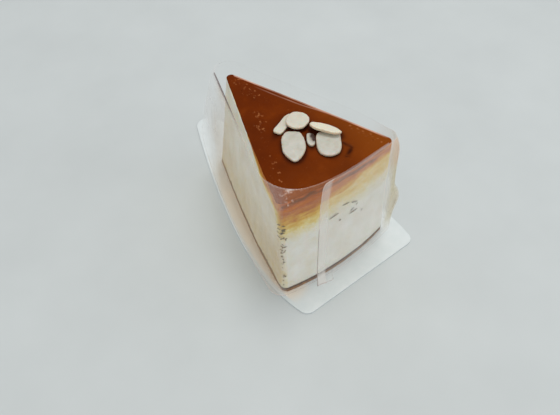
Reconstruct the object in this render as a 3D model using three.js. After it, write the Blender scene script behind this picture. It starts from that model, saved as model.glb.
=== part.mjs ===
// A wedge slice of souffle cheesecake with flaked almonds on its glazed top. It stands on a slip of
// card, inside a loose strip of clear film whose two ends lap on the rim side.
// Millimetres, +Z up. The slice points towards +Y and its baked rim faces -Y. The outlines are drawn
// with the middle of the whole cake at x = 0, y = 0, and the group then moves to its own origin.
import * as THREE from 'three';

// Driving sizes: a 180 mm round cake, cut in eight
const CAKE_RADIUS = 90;
const SLICE_HEIGHT = 65;
const BASE_HEIGHT = 2.6;
const CARD_THICKNESS = 0.8;

// Outlines are rounded triangles: the tip, the front's left and right corners, the radius that rounds each
// of them, and how far the left side, the front and the right side swell outwards.
// The slice's cuts lean a little, so it has one outline at its top and another at its bottom.
const SLICE_TOP = {
  tip: [0.6, 1.6],
  left: onRim(-21.2, CAKE_RADIUS + 0.5),
  right: onRim(21.2, CAKE_RADIUS + 2.6),
  round: { tip: 2.5, left: 2.6, right: 3 },
  bulge: { left: 0.7, front: 2.4, right: 0.3 },
};
const SLICE_BOTTOM = {
  tip: [-1, 11],
  left: onRim(-19.5, CAKE_RADIUS + 1.4),
  right: onRim(23.1, CAKE_RADIUS + 2.8),
  round: { tip: 2.5, left: 3.4, right: 3 },
  bulge: { left: 0.9, front: 2.4, right: 0.3 },
};
const CUT_EDGE_ROUND = 0.9;
const RIM_EDGE_ROUND = 2;
const DOME = 0.6;
const WALL_LEVELS = 6;
const EDGE_LEVELS = 3;
const TOP_RINGS = 4;
const STEPS = { tip: 12, left: 12, leftCorner: 8, front: 14, rightCorner: 8, right: 12 };

// Where along itself a side swells most, unless its outline says otherwise
const MIDDLE_PEAK = { left: 0.5, front: 0.5, right: 0.5 };

// The card: a long rounded triangle that reaches past the slice all round and swells most near its front
const CARD_OUTLINE = {
  tip: [8, 52],
  left: [-29.2, -102.8],
  right: [42.5, -101.4],
  round: { tip: 7, left: 5, right: 5 },
  bulge: { left: 10.4, front: 0, right: 9 },
  peak: { left: 0.75, front: 0.5, right: 0.3 },
};

// The film clings to the rim, stands off both cuts and bends round beyond the tip. From its foot to the
// height of the glazed top it follows the slice's corners, and above that its left corner opens out.
const FILM_FOOT = {
  tip: [2, 33],
  left: [-35.5, -87],
  right: [41.5, -86.8],
  round: { tip: 2.2, left: 7, right: 5 },
  bulge: { left: 4.2, front: 2.6, right: 0 },
};
const FILM_SHOULDER = {
  tip: [-1.6, 16.5],
  left: [-36.2, -89.6],
  right: [36, -88.2],
  round: { tip: 6.5, left: 3.2, right: 3.6 },
  bulge: { left: 0.8, front: 2.8, right: -0.7 },
};
const FILM_TOP = {
  tip: [-1.8, 15.5],
  left: [-38.8, -84],
  right: [35, -86.2],
  round: { tip: 7, left: 14, right: 3.6 },
  bulge: { left: -1.4, front: 2.6, right: -1 },
};
const FILM = {
  thickness: 0.4,
  width: 71.5,
  seat: 0.4, // between the film's lower edge and the card
  dip: { depth: 4, reach: 16 }, // fall of the upper edge about the right corner
  lap: 0.8, // between the two layers where the ends lap
  innerEnd: 0.62, // places of the two ends along the front
  outerEnd: 0.29,
  curl: 1.2, // how far the foot of the outer end stands off the layer under it
  curlShare: 0.06, // share of the film's length that curls
  stations: 96,
  shoulder: 0.91, // share of the film's width that is as high as the glazed top
  levels: [0, 0.3, 0.6, 0.91, 0.95, 1],
};

// Flaked almonds: length and width, place of the middle with its height over the top of the cake, turn
// about Z, roll about the flake's own length, how far one end draws to a point, and how far the oval swells
// towards a square
const FLAKE_THICKNESS = 1.2;
const FLAKE_BEVEL = 0.25;
const FLAKE_STEPS = 24;
const FLAKES = {
  flake_lower_left: { size: [18.8, 10.8], at: [-6, -61.9, 0.95], turn: 236, roll: 0, point: 0.8, square: 0 },
  flake_lower_right: { size: [15, 11], at: [7.1, -70.6, 0.95], turn: 234, roll: 0, point: 0, square: 0.45 },
  flake_round: { size: [11.4, 10.6], at: [4.2, -51.2, 2.7], turn: 200, roll: 0, point: 0.1, square: 0 },
  flake_upper_right: { size: [15.2, 7.6], at: [11, -63.5, 2.8], turn: 298, roll: -22, point: 0.5, square: 0 },
  flake_sliver: { size: [14.4, 4.6], at: [-0.6, -48.2, 0.95], turn: 203, roll: 0, point: 0, square: 0.6 },
  flake_fragment: { size: [8, 3.4], at: [2.5, -63.6, 0.95], turn: 236, roll: 0, point: 0, square: 0.3 },
};

const COLOURS = {
  cake: { color: 0xf1dfbf, roughness: 0.85, metalness: 0 },
  base: { color: 0x9a6438, roughness: 0.9, metalness: 0 },
  almond: { color: 0xefe3cb, roughness: 0.6, metalness: 0 },
  film: { color: 0xf4f6f6, roughness: 0.12, metalness: 0, transparent: true, opacity: 0.3 },
  card: { color: 0xf3f4f2, roughness: 0.7, metalness: 0 },
};

// A corner of the slice, by its angle from -Y and its distance from the middle of the cake
function onRim(degrees, distance) {
  const angle = THREE.MathUtils.degToRad(degrees);
  return [distance * Math.sin(angle), -distance * Math.cos(angle)];
}

// Part of the way from one number to another
const mix = (from, to, share) => THREE.MathUtils.lerp(from, to, share);

// Part of the way from one outline to another
function mixOutline(from, to, share) {
  const corner = (name) => from[name].map((value, axis) => mix(value, to[name][axis], share));
  const each = (group) => Object.fromEntries(
    Object.keys(from[group]).map((name) => [name, mix(from[group][name], to[group][name], share)]));
  return {
    tip: corner('tip'),
    left: corner('left'),
    right: corner('right'),
    round: each('round'),
    bulge: each('bulge'),
  };
}

// The point that a side between two corners bends towards, so that it swells by bulge about its peak
function sideControl(from, to, bulge, peak) {
  const along = to.clone().sub(from);
  const outward = new THREE.Vector2(along.y, -along.x).normalize();
  return from.clone().lerp(to, peak).addScaledVector(outward, 2 * bulge);
}

// Points on the arc that rounds a corner between the two sides that leave it towards back and ahead
function cornerArc(back, corner, ahead, radius, steps) {
  const backward = back.clone().sub(corner).normalize();
  const forward = ahead.clone().sub(corner).normalize();
  const half = Math.acos(backward.dot(forward)) / 2;
  const inward = backward.clone().add(forward).normalize();
  const middle = corner.clone().addScaledVector(inward, radius / Math.sin(half));
  const start = corner.clone().addScaledVector(backward, radius / Math.tan(half)).sub(middle).angle();
  const sweep = Math.PI - 2 * half;
  return Array.from({ length: steps + 1 }, (_, step) => {
    const angle = start + sweep * step / steps;
    return new THREE.Vector2(Math.cos(angle), Math.sin(angle)).multiplyScalar(radius).add(middle);
  });
}

// Points between the two ends of a side that bends towards its control point, ends left out
function bentSide(from, control, to, steps) {
  return new THREE.QuadraticBezierCurve(from, control, to).getPoints(steps).slice(1, -1);
}

// A rounded triangle, anticlockwise from above: the tip, the left side, the front and the right side
function roundedWedge(outline) {
  const [tip, left, right] = ['tip', 'left', 'right'].map((name) => new THREE.Vector2(...outline[name]));
  const peak = outline.peak ?? MIDDLE_PEAK;
  const leftControl = sideControl(tip, left, outline.bulge.left, peak.left);
  const frontControl = sideControl(left, right, outline.bulge.front, peak.front);
  const rightControl = sideControl(right, tip, outline.bulge.right, peak.right);
  const tipArc = cornerArc(rightControl, tip, leftControl, outline.round.tip, STEPS.tip);
  const leftArc = cornerArc(leftControl, left, frontControl, outline.round.left, STEPS.leftCorner);
  const rightArc = cornerArc(frontControl, right, rightControl, outline.round.right, STEPS.rightCorner);
  return [
    ...tipArc,
    ...bentSide(tipArc.at(-1), leftControl, leftArc[0], STEPS.left),
    ...leftArc,
    ...bentSide(leftArc.at(-1), frontControl, rightArc[0], STEPS.front),
    ...rightArc,
    ...bentSide(rightArc.at(-1), rightControl, tipArc[0], STEPS.right),
  ];
}

// Outward directions at the points of a closed anticlockwise outline
function outwardNormals(points) {
  return points.map((_, index) => {
    const along = points[(index + 1) % points.length].clone().sub(points.at(index - 1)).normalize();
    return new THREE.Vector2(along.y, -along.x);
  });
}

// The slice's outline at a share of its height
const sliceOutline = (share) => roundedWedge(mixOutline(SLICE_BOTTOM, SLICE_TOP, share));

// The film's outline at a share of its width
function filmOutline(share) {
  const outline = share < FILM.shoulder
    ? mixOutline(FILM_FOOT, FILM_SHOULDER, share / FILM.shoulder)
    : mixOutline(FILM_SHOULDER, FILM_TOP, (share - FILM.shoulder) / (1 - FILM.shoulder));
  return roundedWedge(outline);
}

// A closed solid's geometry from its corner points and triangles
function meshGeometry(points, triangles) {
  const geometry = new THREE.BufferGeometry();
  const places = points.flatMap((p) => [p.x, p.y, p.z]);
  geometry.setAttribute('position', new THREE.Float32BufferAttribute(places, 3));
  geometry.setIndex(triangles.flat());
  geometry.computeVertexNormals();
  return geometry;
}

// Triangles of the skin between successive closed rings that hold equally many points
function ringSkin(rings, count) {
  const triangles = [];
  for (let ring = 0; ring + 1 < rings; ring += 1) {
    for (let step = 0; step < count; step += 1) {
      const next = (step + 1) % count;
      const [low, lowNext] = [ring * count + step, ring * count + next];
      const [high, highNext] = [low + count, lowNext + count];
      triangles.push([low, lowNext, highNext], [low, highNext, high]);
    }
  }
  return triangles;
}

// A solid through rings stacked upwards, closed by a fan of triangles at the bottom and the top
function stackedSolid(rings, bottomMiddle, topMiddle) {
  const count = rings[0].length;
  const points = [...rings.flat(), bottomMiddle, topMiddle];
  const triangles = ringSkin(rings.length, count);
  const lastRing = (rings.length - 1) * count;
  for (let step = 0; step < count; step += 1) {
    const next = (step + 1) % count;
    triangles.push([points.length - 2, next, step]);
    triangles.push([points.length - 1, lastRing + step, lastRing + next]);
  }
  return meshGeometry(points, triangles);
}

const atHeight = (points, z) => points.map((p) => new THREE.Vector3(p.x, p.y, z));
const middleOf = (points) => points.reduce((sum, p) => sum.add(p), points[0].clone().multiplyScalar(0))
  .divideScalar(points.length);

// The cake: walls between the two cuts and the rim, a rounded top edge and a low dome
function cakeGeometry() {
  const bottom = CARD_THICKNESS + BASE_HEIGHT;
  const top = CARD_THICKNESS + SLICE_HEIGHT;
  const rings = [];
  const baseShare = BASE_HEIGHT / SLICE_HEIGHT;
  const wallTop = 1 - RIM_EDGE_ROUND / SLICE_HEIGHT;
  for (let level = 0; level < WALL_LEVELS; level += 1) {
    const share = mix(baseShare, wallTop, level / WALL_LEVELS);
    rings.push(atHeight(sliceOutline(share), mix(bottom, top, (share - baseShare) / (1 - baseShare))));
  }
  const edge = sliceOutline(1);
  const normals = outwardNormals(edge);
  const rounds = normals.map((normal) => {
    const rimShare = THREE.MathUtils.smoothstep(-normal.y, 0.2, 0.9);
    return mix(CUT_EDGE_ROUND, RIM_EDGE_ROUND, rimShare);
  });
  for (let level = 0; level <= EDGE_LEVELS; level += 1) {
    const angle = Math.PI / 2 * level / EDGE_LEVELS;
    rings.push(edge.map((p, index) => {
      const inset = rounds[index] * (1 - Math.cos(angle));
      const drop = rounds[index] * (1 - Math.sin(angle));
      return new THREE.Vector3(p.x - normals[index].x * inset, p.y - normals[index].y * inset, top - drop);
    }));
  }
  const rim = rings.at(-1);
  const middle = middleOf(rim);
  for (let ring = 1; ring < TOP_RINGS; ring += 1) {
    const share = 1 - ring / TOP_RINGS;
    const height = top + DOME * (1 - share ** 2);
    rings.push(rim.map((p) => p.clone().lerp(middle, 1 - share).setZ(height)));
  }
  return stackedSolid(rings, middleOf(rings[0]), middle.clone().setZ(top + DOME));
}

// The thin baked base under the cake, with the same outline
function baseGeometry() {
  const lower = atHeight(sliceOutline(0), CARD_THICKNESS);
  const upper = atHeight(sliceOutline(BASE_HEIGHT / SLICE_HEIGHT), CARD_THICKNESS + BASE_HEIGHT);
  return stackedSolid([lower, upper], middleOf(lower), middleOf(upper));
}

// The card is cut from one flat sheet
function cardGeometry() {
  const shape = new THREE.Shape(roundedWedge(CARD_OUTLINE));
  return new THREE.ExtrudeGeometry(shape, { depth: CARD_THICKNESS, bevelEnabled: false });
}

// A point or direction between the entries of a closed list, at a fractional place in it
function between(list, place) {
  const lower = Math.floor(place);
  return list[lower % list.length].clone().lerp(list[(lower + 1) % list.length], place - lower);
}

// The film: a thin wall carried round the slice from its outer end to its inner end, a lap further on
function filmGeometry() {
  const smooth = THREE.MathUtils.smoothstep;
  const frontStart = STEPS.tip + STEPS.left + STEPS.leftCorner;
  const outerEnd = frontStart + FILM.outerEnd * STEPS.front;
  const innerEnd = frontStart + FILM.innerEnd * STEPS.front + filmOutline(0).length;
  const levels = FILM.levels.length;
  const loopSize = 2 * levels;
  const rings = Array.from({ length: FILM.stations + 1 }, () => new Array(loopSize));
  FILM.levels.forEach((share, level) => {
    const outline = filmOutline(share);
    const normals = outwardNormals(outline);
    const rightCorner = new THREE.Vector2(...FILM_TOP.right);
    for (let station = 0; station <= FILM.stations; station += 1) {
      const run = station / FILM.stations;
      const place = mix(outerEnd, innerEnd, run);
      const point = between(outline, place);
      const normal = between(normals, place).normalize();
      const curl = FILM.curl * (1 - share) ** 2 * (1 - smooth(run, 0, FILM.curlShare));
      const layer = FILM.lap * (1 - smooth(run, 0.1, 0.4)) + curl;
      const nearness = Math.exp(-((point.distanceTo(rightCorner) / FILM.dip.reach) ** 2));
      const height = CARD_THICKNESS + FILM.seat + share * (FILM.width - FILM.dip.depth * nearness);
      const wall = (side) => {
        const spot = point.clone().addScaledVector(normal, layer + side * FILM.thickness / 2);
        return new THREE.Vector3(spot.x, spot.y, height);
      };
      rings[station][levels - 1 - level] = wall(1);
      rings[station][levels + level] = wall(-1);
    }
  });
  const triangles = ringSkin(rings.length, loopSize);
  const last = FILM.stations * loopSize;
  for (let level = 0; level + 1 < levels; level += 1) {
    const [outer, inner] = [level, loopSize - 1 - level];
    triangles.push([outer, inner - 1, outer + 1], [outer, inner, inner - 1]);
    triangles.push([last + outer, last + outer + 1, last + inner - 1]);
    triangles.push([last + outer, last + inner - 1, last + inner]);
  }
  return meshGeometry(rings.flat(), triangles);
}

// One flake: an oval, drawn to a point at one end or swollen towards a square, with a bevelled edge
function flakeGeometry({ size: [length, width], point, square }) {
  const swell = (value) => Math.sign(value) * Math.abs(value) ** (1 - square);
  const outline = [];
  for (let step = 0; step < FLAKE_STEPS; step += 1) {
    const angle = 2 * Math.PI * step / FLAKE_STEPS;
    const taper = 1 - 0.5 * point * Math.max(Math.cos(angle), 0) ** 2;
    outline.push(new THREE.Vector2(
      (length / 2 - FLAKE_BEVEL) * swell(Math.cos(angle)),
      (width / 2 - FLAKE_BEVEL) * swell(Math.sin(angle)) * taper));
  }
  const geometry = new THREE.ExtrudeGeometry(new THREE.Shape(outline), {
    depth: FLAKE_THICKNESS - 2 * FLAKE_BEVEL,
    bevelThickness: FLAKE_BEVEL,
    bevelSize: FLAKE_BEVEL,
    bevelSegments: 1,
  });
  return geometry.translate(0, 0, FLAKE_BEVEL - FLAKE_THICKNESS / 2);
}

function named(name, geometry, finish) {
  const mesh = new THREE.Mesh(geometry, new THREE.MeshStandardMaterial(finish));
  mesh.name = name;
  return mesh;
}

const slice = new THREE.Group();
slice.add(named('card', cardGeometry(), COLOURS.card));
slice.add(named('base_layer', baseGeometry(), COLOURS.base));
slice.add(named('cake', cakeGeometry(), COLOURS.cake));
slice.add(named('film', filmGeometry(), COLOURS.film));

const toppings = new THREE.Group();
toppings.position.z = CARD_THICKNESS + SLICE_HEIGHT + DOME;
for (const [name, flake] of Object.entries(FLAKES)) {
  const mesh = named(name, flakeGeometry(flake), COLOURS.almond);
  mesh.position.set(...flake.at);
  mesh.rotation.order = 'ZYX';
  mesh.rotation.set(THREE.MathUtils.degToRad(flake.roll), 0, THREE.MathUtils.degToRad(flake.turn));
  toppings.add(mesh);
}
slice.add(toppings);

// The origin is the middle of the underside
const box = new THREE.Box3().setFromObject(slice);
const centre = box.getCenter(new THREE.Vector3());
slice.position.set(-centre.x, -centre.y, -box.min.z);

const part = new THREE.Group();
part.add(slice);
export default part;
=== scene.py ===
"""Looks of a wrapped slice of souffle cheesecake: a soft pale body with a browned rim, a glazed top with
flaked almonds, a thin baked base, a loose strip of clear film and a slip of card.

Shapes are worked out in millimetres, with the middle of the whole cake at x = 0, y = 0, the slice pointing
towards +Y and the card's underside at z = 0. They go into the meshes in metres, moved to the part's frame."""
import math
import bpy
import numpy as np
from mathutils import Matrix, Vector


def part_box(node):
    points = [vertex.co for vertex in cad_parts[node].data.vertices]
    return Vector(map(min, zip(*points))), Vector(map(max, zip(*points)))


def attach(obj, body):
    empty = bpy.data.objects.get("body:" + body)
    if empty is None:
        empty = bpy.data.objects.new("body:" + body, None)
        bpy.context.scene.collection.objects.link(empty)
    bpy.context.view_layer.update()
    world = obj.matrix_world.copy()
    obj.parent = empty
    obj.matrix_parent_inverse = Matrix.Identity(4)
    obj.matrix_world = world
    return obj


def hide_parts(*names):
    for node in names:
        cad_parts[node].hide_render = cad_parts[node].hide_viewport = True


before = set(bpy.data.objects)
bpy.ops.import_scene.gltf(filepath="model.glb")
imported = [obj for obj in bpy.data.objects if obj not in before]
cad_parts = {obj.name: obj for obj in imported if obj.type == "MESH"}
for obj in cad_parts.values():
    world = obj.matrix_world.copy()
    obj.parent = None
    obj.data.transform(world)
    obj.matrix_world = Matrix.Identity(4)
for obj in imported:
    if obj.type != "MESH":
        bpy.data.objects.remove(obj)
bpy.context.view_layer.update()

MM = 0.001

# Sizes of the slice
CAKE_RADIUS = 90
CARD_THICKNESS = 0.8
BASE_HEIGHT = 2.6
SLICE_HEIGHT = 65
DOME = 0.6
CUT_EDGE_ROUND = 0.9
RIM_EDGE_ROUND = 2
CAKE_TOP = CARD_THICKNESS + SLICE_HEIGHT


def on_rim(degrees, distance):
    """A corner of the slice, by its angle from -Y and its distance from the middle of the cake."""
    angle = math.radians(degrees)
    return distance * math.sin(angle), -distance * math.cos(angle)


def outline(tip, left, right, rounds, swells, peaks=(0.5, 0.5, 0.5)):
    """A rounded triangle as one row of numbers: three corners, the radius that rounds each of them, how far
    the left side, the front and the right side swell outwards, and where along itself each swells most."""
    return np.array([*tip, *left, *right, *rounds, *swells, *peaks], float)


SLICE_TOP = outline(
    (0.6, 1.6), on_rim(-21.2, CAKE_RADIUS + 0.5), on_rim(21.2, CAKE_RADIUS + 2.6),
    (2.5, 2.6, 3), (0.7, 2.4, 0.3))
SLICE_BOTTOM = outline(
    (-1, 11), on_rim(-19.5, CAKE_RADIUS + 1.4), on_rim(23.1, CAKE_RADIUS + 2.8),
    (2.5, 3.4, 3), (2, 3.6, 0.3), (0.65, 0.5, 0.5))
CARD = outline((8, 52), (-29.2, -102.8), (42.5, -101.4), (7, 5, 5), (10.4, 0, 9), (0.75, 0.5, 0.3))
FILM_FOOT = outline((2, 33), (-35.5, -87), (41.5, -86.8), (2.2, 7, 5), (4.2, 3.6, 0))
FILM_SHOULDER = outline((-1.6, 16.5), (-36.2, -89.6), (36, -88.2), (6.5, 3.2, 3.6), (0.8, 2.8, -0.7))
FILM_TOP = outline(
    (-1.8, 15.5), (-36.5, -83.4), (35, -86.2), (7, 16.8, 3.6), (-0.3, 4.9, -1), (0.3, 0.5, 0.5))

# Flaked almonds. Size is length and width, at is the middle with its height over the top of the cake, turn is
# about Z and roll about the flake's own length, in degrees. Point is how far one end draws to a point, square
# how far the oval swells towards a square at the other, cut the share of its half width at which one side is
# straight, bend its share of the full bow, and hollow and toast are 1 for a full hollow or tint.
FLAKES = {
    "flake_lower_left": dict(size=(18.4, 10.8), at=(-6.2, -62.2, 0.95), turn=236, point=0.85, square=0.3),
    "flake_lower_right": dict(size=(15, 11), at=(7.1, -70.6, 0.95), turn=234, square=0.6),
    "flake_round": dict(
        size=(11.2, 10.4), at=(4.4, -51.6, 2.7), turn=200, point=0.1, square=0.1, toast=0.45),
    "flake_upper_right": dict(
        size=(15.2, 8.6), at=(11, -63.5, 2.8), turn=298, roll=-22, point=0.4, cut=0.75, bend=1, toast=1),
    "flake_sliver": dict(size=(14.4, 4.6), at=(-0.6, -48.2, 0.95), turn=23, square=0.65, toast=0.45),
    "flake_fragment": dict(size=(8, 3.8), at=(2.5, -63.6, 0.95), turn=236, square=0.45, hollow=1),
}

# Fields and outlines
LATTICE_FACTORS = np.array([73856093, 19349663, 83492791])
SEED_FACTOR = 2654435761
MIX_FACTOR = 1274126177
FRONT_ENDS = np.array([3, 3.999])


def unit(vectors):
    """Vectors divided by their lengths."""
    return vectors / np.linalg.norm(vectors, axis=-1, keepdims=True)


def turned(first, second, angle):
    """Two coordinates turned by an angle in their plane."""
    cos, sin = np.cos(angle), np.sin(angle)
    return first * cos - second * sin, first * sin + second * cos


def mix(low, high, share):
    """The straight blend from low to high."""
    return low + (high - low) * share


def smooth(value, low, high):
    """The smooth step from 0 at low to 1 at high, three x squared less two x cubed."""
    share = np.clip((value - low) / (high - low), 0, 1)
    return share * share * (3 - 2 * share)


def window(value, start, full, fading, end):
    """The smooth step up from start to full, times the smooth step down from fading to end."""
    return smooth(value, start, full) * smooth(value, end, fading)


def bell(value, width):
    """The bell curve, e to the power of minus the square of value over width."""
    return np.exp(-(value / width) ** 2)


def lumps(points, size, seed):
    """A smooth random field from -1 to 1: each corner of a cubic lattice of the given size has a random
    height, and a point blends the heights of the eight corners round it by smooth steps."""
    place = np.asarray(points, float) / size
    cell = np.floor(place).astype(np.int64)
    part = place - cell
    part = part * part * (3 - 2 * part)
    total = np.zeros(place.shape[:-1])
    for corner in np.ndindex(2, 2, 2):
        mixed = (cell + corner) @ LATTICE_FACTORS + seed * SEED_FACTOR
        mixed = (mixed ^ (mixed >> 13)) * MIX_FACTOR & 0xFFFFFFFF
        height = (mixed ^ (mixed >> 16)) & 0xFFFF
        weight = np.prod(np.where(corner, part, 1 - part), axis=-1)
        total += weight * height
    return total / 0x7FFF - 1


def layered(points, layers, lift=0):
    """Lumps of several sizes added up, by depth, size and seed. A lift of 1 keeps the sum above 0."""
    return sum(depth * (lift + lumps(points, size, seed)) for depth, size, seed in layers)


def wedge_points(outlines, stretch):
    """Points on rounded triangles, one triangle for each row of outlines. Stretch counts round the triangle:
    0 to 1 is the arc at the tip, 1 to 2 the left side, 2 to 3 the left corner's arc, 3 to 4 the front, 4 to 5
    the right corner's arc and 5 to 6 the right side. An arc is tangent to the lines from its corner to the
    control points of its two sides, and a side is the quadratic curve from arc to arc that bends to its
    control point."""
    rows = len(outlines)
    corner = outlines[:, :6].reshape(rows, 3, 2)
    radius = outlines[:, 6:9, None]
    swell = outlines[:, 9:12, None]
    peak = outlines[:, 12:15, None]
    along = np.roll(corner, -1, axis=1) - corner
    out = unit(np.stack([along[..., 1], -along[..., 0]], axis=-1))
    control = corner + peak * along + 2 * swell * out
    backward = unit(np.roll(control, 1, axis=1) - corner)
    forward = unit(control - corner)
    half = np.arccos(np.sum(backward * forward, axis=-1, keepdims=True)) / 2
    middle = corner + unit(backward + forward) * radius / np.sin(half)
    first = corner + backward * radius / np.tan(half)
    last = corner + forward * radius / np.tan(half)
    spoke = first - middle
    start = np.arctan2(spoke[..., 1:], spoke[..., :1])
    stretch = np.broadcast_to(stretch, (rows, np.shape(stretch)[-1]))
    whole = np.floor(stretch).astype(int) % 6
    part = (stretch - np.floor(stretch))[..., None]
    row = np.arange(rows)[:, None]
    here = whole // 2
    ahead = (here + 1) % 3
    angle = start[row, here] + (np.pi - 2 * half[row, here]) * part
    arc = middle[row, here] + radius[row, here] * np.concatenate([np.cos(angle), np.sin(angle)], axis=-1)
    side = ((1 - part) ** 2 * last[row, here] + 2 * part * (1 - part) * control[row, here]
            + part ** 2 * first[row, ahead])
    return np.where((whole % 2 == 0)[..., None], arc, side)


def on_front(outlines, x):
    """Stretch of places along the front, by their share of the way in x between the front's two ends."""
    ends = wedge_points(outlines, FRONT_ENDS)[..., 0]
    return FRONT_ENDS[0] + (x - ends[:, :1]) / (ends[:, 1:] - ends[:, :1])


def outward(points, closed=True):
    """Unit directions out of anticlockwise outlines, square to the chord between a point's neighbours."""
    ahead = np.roll(points, -1, axis=1)
    behind = np.roll(points, 1, axis=1)
    if not closed:
        ahead[:, -1] = points[:, -1]
        behind[:, 0] = points[:, 0]
    along = ahead - behind
    return unit(np.stack([along[..., 1], -along[..., 0]], axis=-1))


def round_stretch(counts):
    """Stretch values once round a triangle, with the given count on each of its six stretches."""
    return np.concatenate([number + np.arange(count) / count for number, count in enumerate(counts)])


# Meshes
def ring_quads(rows, columns):
    """Corner numbers of the quads between successive closed rings of points."""
    first = np.arange(columns)
    then = np.roll(first, -1)
    low = np.arange(rows - 1)[:, None] * columns
    quads = np.stack([low + first, low + then, low + columns + then, low + columns + first], axis=-1)
    return quads.reshape(-1, 4)


def closed_stacks(rings):
    """Points and faces of bodies, each through its own closed rings, with a fan of triangles to the middle of
    each end ring. Points are numbered by body, ring and place round the ring, then the two middles."""
    bodies, rows, columns = rings.shape[:3]
    count = rows * columns
    points = np.concatenate([rings.reshape(bodies, count, 3), rings[:, [0, -1]].mean(axis=2)], axis=1)
    first = np.arange(columns)
    then = np.roll(first, -1)
    top = count - columns
    bottom_fan = np.stack([np.full(columns, count), then, first], axis=-1)
    top_fan = np.stack([np.full(columns, count + 1), top + first, top + then], axis=-1)
    start = np.arange(bodies)[:, None, None] * (count + 2)
    quads = (ring_quads(rows, columns) + start).reshape(-1, 4)
    fans = (np.concatenate([bottom_fan, top_fan]) + start).reshape(-1, 3)
    return points.reshape(-1, 3), [*quads.tolist(), *fans.tolist()]


card_drawn = wedge_points(CARD[None], round_stretch([24] * 6))[0]
SHIFT = np.array([*(np.array(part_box("card")[0])[:2] / MM - card_drawn.min(axis=0)), 0])


def linked(name, data):
    """A new object in the scene."""
    thing = bpy.data.objects.new(name, data)
    bpy.context.collection.objects.link(thing)
    return thing


def make_piece(name, points, faces, material, replaced, fields):
    """A piece from its points in millimetres, its faces and its named fields, on the part's one body."""
    mesh = bpy.data.meshes.new(name)
    mesh.from_pydata(((points + SHIFT) * MM).tolist(), [], faces)
    for field, values in fields.items():
        mesh.attributes.new(field, "FLOAT", "POINT").data.foreach_set("value", values.astype(np.float32))
    mesh.polygons.foreach_set("use_smooth", np.ones(len(mesh.polygons), bool))
    mesh.materials.append(material)
    mesh.update()
    piece = linked(name, mesh)
    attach(piece, "root")
    if replaced:
        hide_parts(*replaced)
    return piece


def make_stack(name, rings, material, replaced, drawn):
    """A piece through closed rings, with fields drawn on them. An end's middle takes the mean of its ring."""
    points, faces = closed_stacks(rings[None])
    fields = {
        field: np.concatenate([values.ravel(), [values[0].mean(), values[-1].mean()]])
        for field, values in drawn.items()}
    make_piece(name, points, faces, material, replaced, fields)


# Materials
NOISE_RANGE = (0.3, 0.7)
FIRST_COLOUR, SECOND_COLOUR, MIXED_COLOUR = 6, 7, 2


def colour(code):
    """A shader colour from a six-digit code, with the screen's curve taken out."""
    shares = np.array([int(code[i:i + 2], 16) for i in (0, 2, 4)]) / 255
    straight = np.where(shares <= 0.04045, shares / 12.92, ((shares + 0.055) / 1.055) ** 2.4)
    return (*straight.tolist(), 1.0)


class Finish:
    """A material being made: its nodes, its shader, and short ways to add a pattern and join it up."""

    def __init__(self, name, **constants):
        self.material = bpy.data.materials.new(name)
        self.material.use_nodes = True
        self.nodes = self.material.node_tree.nodes
        self.links = self.material.node_tree.links
        self.shader = self.nodes["Principled BSDF"]
        self.place = self.node("TexCoord", {}).outputs["Object"]
        for socket, value in constants.items():
            self.set(socket.replace("_", " "), value)

    def join(self, value, socket):
        """Links a node's output to an input, or sets the input to a plain number or colour."""
        if isinstance(value, bpy.types.NodeSocket):
            self.links.new(value, socket)
        else:
            socket.default_value = value

    def set(self, socket, value):
        """Joins a value or a pattern to the shader."""
        self.join(value, self.shader.inputs[socket])

    def node(self, kind, facts):
        """A new node, with facts joined to its inputs."""
        node = self.nodes.new("ShaderNode" + kind)
        for socket, value in facts.items():
            self.join(value, node.inputs[socket])
        return node

    def noise(self, size, detail=3.0, roughness=0.55, factors=(1, 1, 1)):
        """Cloudy noise from 0 to 1. Its largest spots are about size millimetres, over each axis's factor."""
        place = self.node("Mapping", {"Vector": self.place, "Scale": factors}).outputs["Vector"]
        facts = {"Vector": place, "Scale": 1 / (size * MM), "Detail": detail, "Roughness": roughness}
        return self.node("TexNoise", facts).outputs["Fac"]

    def field(self, name):
        """A value that the mesh carries at its points."""
        node = self.node("Attribute", {})
        node.attribute_name = name
        return node.outputs["Fac"]

    def math(self, operation, first, second):
        """Arithmetic on two values."""
        node = self.node("Math", {0: first, 1: second})
        node.operation = operation
        return node.outputs[0]

    def rescale(self, value, low, high, to_low, to_high):
        """A value carried from one range to another, held at its ends."""
        facts = {"Value": value, "From Min": low, "From Max": high, "To Min": to_low, "To Max": to_high}
        return self.node("MapRange", facts).outputs["Result"]

    def vary(self, noise, low, high):
        """Noise carried from its usual range to the range from low to high."""
        return self.rescale(noise, *NOISE_RANGE, low, high)

    def ramp(self, value, stops):
        """Colours by value: stops are pairs of a value from 0 to 1 and a colour code."""
        node = self.node("ValToRGB", {"Fac": value})
        elements = node.color_ramp.elements
        while len(elements) < len(stops):
            elements.new(0.5)
        for element, (place, code) in zip(elements, stops):
            element.position = place
            element.color = colour(code)
        return node.outputs["Color"]

    def blend(self, share, low, high, way="MIX"):
        """A colour between two colours, or another way of laying the second on the first."""
        node = self.node("Mix", {"Factor": share})
        node.data_type = "RGBA"
        node.blend_type = way
        self.join(low, node.inputs[FIRST_COLOUR])
        self.join(high, node.inputs[SECOND_COLOUR])
        return node.outputs[MIXED_COLOUR]

    def tinted(self, base, field, code):
        """A colour that turns to another, given by its code, where the mesh's field is high."""
        return self.blend(self.field(field), base, colour(code))

    def bump(self, height, depth, strength=1.0, below=None):
        """Small relief from a value, depth in millimetres, on top of another relief if one is given."""
        facts = {"Height": height, "Distance": depth * MM, "Strength": strength}
        if below is not None:
            facts["Normal"] = below
        return self.node("Bump", facts).outputs["Normal"]


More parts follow.
